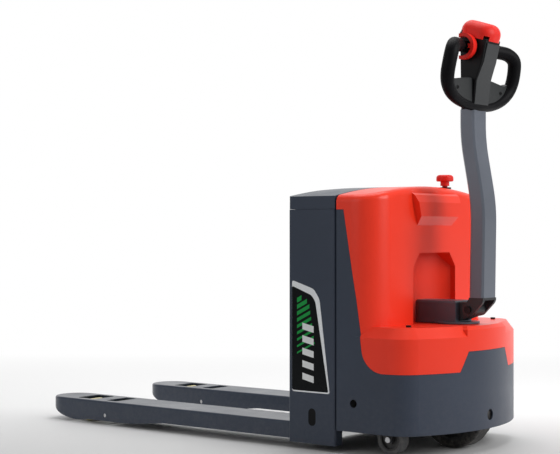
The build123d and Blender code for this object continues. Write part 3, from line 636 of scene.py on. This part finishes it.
def make_web(side, name, material):
    outline = [(0.040, 1.090), (0.095, 1.103), (0.140, 1.119), (0.180, 1.146), (0.200, 1.182),
               (0.187, 1.186), (0.172, 1.176), (0.150, 1.176), (0.075, 1.186), (0.040, 1.187)]
    points = [(side * x, HEEL_Y + WEB_Y, z) for x, z in outline]
    web = new_object("grip_web_" + name,
                     lambda build: prism(build, rounded(points, WEB_CORNER, 3), WEB_DEPTH,
                                         (0, -1, 0)),
                     material, "tiller")
    return soften(web, 0.006, 4)


# The head's front panel: half its width, lower down and at the top, and how far it goes into the
# head and stands off it.
PANEL_HALF, PANEL_TOP_HALF = 0.044, 0.0385
PANEL_SUNK, PANEL_PROUD = 0.002, 0.0022


def make_head_panel(material):
    """A plate that follows the bent front of the head."""
    front = [(-0.5065, 1.096), (-0.511, 1.110), (-0.518, 1.177), (-0.541, 1.237)]
    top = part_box("head_body")[0]
    front.append((top[1] - HEEL_Y + 0.0004, 1.293))

    def skin(build):
        rings = []
        for i, (y, z) in enumerate(front):
            half = PANEL_TOP_HALF if i > 2 else PANEL_HALF
            rings.append([Vector((-half, HEEL_Y + y + PANEL_SUNK, z)),
                          Vector((-half, HEEL_Y + y - PANEL_PROUD, z)),
                          Vector((half, HEEL_Y + y - PANEL_PROUD, z)),
                          Vector((half, HEEL_Y + y + PANEL_SUNK, z))])
        ring_loop(build, rings)

    plate = new_object("head_front_panel", skin, material, "tiller")
    return soften(plate, 0.0012, 2)


class TRUCK_OT_labels(bpy.types.Operator):
    """Builds the striped label on each side of the battery box"""
    bl_idname = "truck.labels"
    bl_label = "Labels"

    def execute(self, context):
        foil = surface("Label edge", (0.80, 0.82, 0.84), 0.35, 0.05, 0.04, bump=0.03, metallic=0.2)
        dark = surface("Label ground", (0.004, 0.005, 0.006), 0.25, 0.04, 0.05, bump=0.03,
                       specular=0.12)
        green = surface("Label green", tuple(finish().stripe_colour), 0.3, 0.04, 0.06, bump=0.03,
                        specular=0.2)
        white = surface("Label white", (0.72, 0.74, 0.74), 0.3, 0.04, 0.03, bump=0.03)
        for side, name in ((-1, "left"), (1, "right")):
            label_plate("label_edge_" + name, side, EDGE, 0.010, EDGE_LAYER, foil)
            label_plate("label_ground_" + name, side, GROUND, 0.007, GROUND_LAYER, dark)
            label_marks("label_stripes_" + name, side, stripe_outlines(), STRIPE_LAYER, green)
            label_marks("label_bars_" + name, side, bar_outlines(), BAR_LAYER, white)
        return {"FINISHED"}


# How far each layer stands off the panel, as a share of the label's thickness.
EDGE_LAYER, GROUND_LAYER, STRIPE_LAYER, BAR_LAYER = 0.4, 0.7, 0.85, 0.95

# Outlines on the side of the box: along the truck from the fork heel, and up.
EDGE = ((-0.014, 0.183), (-0.164, 0.183), (-0.162, 0.198), (-0.124, 0.482), (-0.101, 0.514),
        (-0.014, 0.541))
GROUND = ((-0.0142, 0.1872), (-0.1585, 0.1872), (-0.156, 0.200), (-0.1075, 0.474),
          (-0.092, 0.494), (-0.0142, 0.5225))
BAR_COUNT, BAR_BOTTOM, BAR_STEP = 5, 0.224, 0.040
STRIPE_COUNT, STRIPE_TOP, STRIPE_START = 9, 0.4835, -0.0345


def bar_outlines():
    """Plain slanted bars, one above another."""
    bars = []
    for i in range(BAR_COUNT):
        z = BAR_BOTTOM + i * BAR_STEP
        bars.append(((-0.056, z), (-0.056, z + 0.021), (-0.101, z + 0.011), (-0.101, z - 0.010)))
    return bars


def stripe_outlines():
    """Slanted stripes that thin as they go down."""
    stripes = []
    for i in range(STRIPE_COUNT):
        z = STRIPE_TOP - i * sizes().stripe_gap
        thick = 0.0150 - 0.0012 * i
        far = (-0.052, -0.074)[i] if i < 2 else -0.084 - 0.0035 * (i - 2)
        rise = 0.5 * (STRIPE_START - far)
        stripes.append(((STRIPE_START, z - thick), (STRIPE_START, z), (far, z + rise),
                        (far, z + rise - thick)))
    return stripes


# The upright slot in each side panel, over the end of the rocker shaft: its middle along the
# truck from the fork heel and up, its end radius, and how far each end's centre is from the middle.
SLOT_Y, SLOT_Z = -0.094, 0.105
SLOT_RADIUS, SLOT_STRAIGHT = 0.0145, 0.0135
SLOT_LAYER = 0.2


class TRUCK_OT_recesses(bpy.types.Operator):
    """Covers the side slots of the battery box with thin dark plates: painted shade for the dark
    inside of the slots
    """
    bl_idname = "truck.recesses"
    bl_label = "Painted slot shade"

    def execute(self, context):
        # Painted shade: a near-black plate on each slot stands for the shade inside its recess.
        dark = surface("Slot shade paint", (0.004, 0.004, 0.005), 0.6, bump=0.1, specular=0.15)
        for side, name in ((-1, "left"), (1, "right")):
            shade_plate = label_marks("slot_painted_shade_" + name, side, [slot_outline()], SLOT_LAYER, dark)
            soften(shade_plate, 0.00002, 1)
        return {"FINISHED"}


def slot_outline():
    outline = []
    for centre, start in ((SLOT_Z + SLOT_STRAIGHT, 0), (SLOT_Z - SLOT_STRAIGHT, math.pi)):
        for k in range(13):
            a = start + math.pi * k / 12
            outline.append((SLOT_Y + SLOT_RADIUS * math.cos(a),
                            centre + SLOT_RADIUS * math.sin(a)))
    return outline


def label_plate(name, side, outline, radius, level, material):
    x = side * SIDE_X
    depth = sizes().label_proud * level
    points = rounded([(x, HEEL_Y + y, z) for y, z in outline], radius)
    return new_object(name, lambda build: prism(build, points, depth, (side, 0, 0)), material,
                      "fork_frame")


def label_marks(name, side, outlines, level, material):
    x = side * SIDE_X
    depth = sizes().label_proud * level

    def plates(build):
        for outline in outlines:
            prism(build, [(x, HEEL_Y + y, z) for y, z in outline], depth, (side, 0, 0))

    return new_object(name, plates, material, "fork_frame")


# The camera's tilt, where 90 degrees is level.
CAMERA_PITCH = math.radians(90.2)


class TRUCK_OT_stage(bpy.types.Operator):
    """Sets the pale floor, soft lights and camera"""
    bl_idname = "truck.stage"
    bl_label = "Stage"

    def execute(self, context):
        stage = context.scene.truck_stage
        make_floor()
        world = bpy.data.worlds.new("Even light")
        context.scene.world = world
        world.use_nodes = True
        world.node_tree.nodes["Background"].inputs["Color"].default_value = (1, 1, 1, 1)
        world.node_tree.nodes["Background"].inputs["Strength"].default_value = stage.sky
        area_light("Key", (1.0, HEEL_Y - 4.2, 2.6), (0, HEEL_Y - 0.3, 0.7), 3.0, 150)
        area_light("Fill", (-4.2, HEEL_Y + 1.0, 2.2), (0, HEEL_Y, 0.5), 2.8, 28)
        area_light("Top", (0.4, HEEL_Y + 0.2, 3.8), (0, HEEL_Y + 0.1, 0.3), 3.0, 80)
        camera = bpy.data.objects.new("Camera", bpy.data.cameras.new("Camera"))
        context.scene.collection.objects.link(camera)
        camera.data.sensor_width = 36
        camera.data.lens = stage.lens
        camera.location = (stage.camera_right, HEEL_Y + stage.camera_back, stage.camera_height)
        camera.rotation_euler = (CAMERA_PITCH, 0, -stage.heading)
        context.scene.camera = camera
        context.scene.view_settings.view_transform = "Standard"
        return {"FINISHED"}


def make_floor():
    """A floor that curves up into a backdrop behind the truck."""
    mesh = bpy.data.meshes.new("Floor")
    build = bmesh.new()
    front, reach, bend, top = -9.0, 7.0, 2.5, 9.0
    half_width = 14.0
    steps = 16
    profile = [(front, 0.0), (reach, 0.0)]
    for i in range(1, steps + 1):
        a = math.pi / 2 * i / steps
        profile.append((reach + bend * math.sin(a), bend * (1 - math.cos(a))))
    profile.append((reach + bend, top))
    heading = bpy.context.scene.truck_stage.heading
    along = Vector((math.sin(heading), math.cos(heading), 0))
    across = Vector((math.cos(heading), -math.sin(heading), 0))
    rows = []
    for distance, height in profile:
        row = []
        for side in (-half_width, half_width):
            row.append(build.verts.new(along * distance + across * side + Vector((0, 0, height))))
        rows.append(row)
    for first, second in zip(rows, rows[1:]):
        build.faces.new((first[0], first[1], second[1], second[0]))
    build.to_mesh(mesh)
    build.free()
    floor = bpy.data.objects.new("Floor", mesh)
    bpy.context.scene.collection.objects.link(floor)
    smooth(floor)
    mesh.materials.append(floor_material(along))


# Distances along the floor from the camera where its painted shade changes from grey to pale, and
# where it fades to white.
SHADE_START, SHADE_END = 4.4, 5.6
FADE_START, FADE_END = 5.2, 8.0


def floor_material(along):
    """Painted shade: pale grey in front of the truck, paler further back, fading to white light
    behind it.
    """
    stage = bpy.context.scene.truck_stage
    start = along.dot(Vector((stage.camera_right, HEEL_Y + stage.camera_back, 0)))
    material = bpy.data.materials.new("Studio floor")
    material.use_nodes = True
    tree = material.node_tree
    shader = tree.nodes["Principled BSDF"]
    place = add(tree, "ShaderNodeTexCoord").outputs["Object"]
    depth = add(tree, "ShaderNodeVectorMath", operation="DOT_PRODUCT")
    tree.links.new(place, depth.inputs[0])
    depth.inputs[1].default_value = along
    distance = math_node(tree, "SUBTRACT", depth.outputs["Value"], start)
    # Painted shade: the floor's colour goes from the near tone to the far tone with distance from
    # the camera.
    tone = remap(tree, distance, SHADE_START, SHADE_END, stage.floor_shade_near, stage.floor_shade_far)
    tree.links.new(mix_colour(tree, 1.0, (1, 1, 1, 1), tone, "MULTIPLY"),
                   shader.inputs["Base Color"])
    shader.inputs["Roughness"].default_value = 0.6
    light = add(tree, "ShaderNodeEmission")
    light.inputs["Strength"].default_value = 1.0
    blend = add(tree, "ShaderNodeMixShader")
    tree.links.new(remap(tree, distance, FADE_START, FADE_END, 0.0, 1.0), blend.inputs["Fac"])
    tree.links.new(shader.outputs["BSDF"], blend.inputs[1])
    tree.links.new(light.outputs["Emission"], blend.inputs[2])
    tree.links.new(blend.outputs["Shader"], tree.nodes["Material Output"].inputs["Surface"])
    return material


def area_light(name, place, target, size, power):
    data = bpy.data.lights.new(name, "AREA")
    data.size = size
    data.energy = power
    lamp = bpy.data.objects.new(name, data)
    bpy.context.scene.collection.objects.link(lamp)
    lamp.location = place
    aim = Vector(target) - Vector(place)
    lamp.rotation_euler = aim.to_track_quat("-Z", "Y").to_euler()


class TRUCK_PT_panel(bpy.types.Panel):
    """The truck's pieces and finishes"""
    bl_idname = "TRUCK_PT_panel"
    bl_label = "Pallet truck"
    bl_space_type = "VIEW_3D"
    bl_region_type = "UI"
    bl_category = "Truck"

    def draw(self, context):
        for operator in OPERATORS:
            self.layout.operator(operator.bl_idname)
        for settings in (context.scene.truck_finish, context.scene.truck_sizes,
                         context.scene.truck_stage):
            for key in settings.bl_rna.properties.keys():
                if key not in ("rna_type", "name"):
                    self.layout.prop(settings, key)


OPERATORS = (
    TRUCK_OT_painted_steel,
    TRUCK_OT_hood,
    TRUCK_OT_steering,
    TRUCK_OT_wheels,
    TRUCK_OT_hardware,
    TRUCK_OT_controls,
    TRUCK_OT_grips,
    TRUCK_OT_labels,
    TRUCK_OT_recesses,
    TRUCK_OT_stage,
)
SETTINGS = (TruckFinish, TruckSizes, TruckStage)


def register():
    for kind in SETTINGS + OPERATORS + (TRUCK_PT_panel,):
        bpy.utils.register_class(kind)
    bpy.types.Scene.truck_finish = bpy.props.PointerProperty(type=TruckFinish)
    bpy.types.Scene.truck_sizes = bpy.props.PointerProperty(type=TruckSizes)
    bpy.types.Scene.truck_stage = bpy.props.PointerProperty(type=TruckStage)


def unregister():
    del bpy.types.Scene.truck_stage
    del bpy.types.Scene.truck_sizes
    del bpy.types.Scene.truck_finish
    for kind in reversed(SETTINGS + OPERATORS + (TRUCK_PT_panel,)):
        bpy.utils.unregister_class(kind)


def main():
    register()
    bpy.ops.truck.painted_steel()
    bpy.ops.truck.hood()
    bpy.ops.truck.steering()
    bpy.ops.truck.wheels()
    bpy.ops.truck.hardware()
    bpy.ops.truck.controls()
    bpy.ops.truck.grips()
    bpy.ops.truck.labels()
    bpy.ops.truck.recesses()
    bpy.ops.truck.stage()


if __name__ == "__main__":
    main()
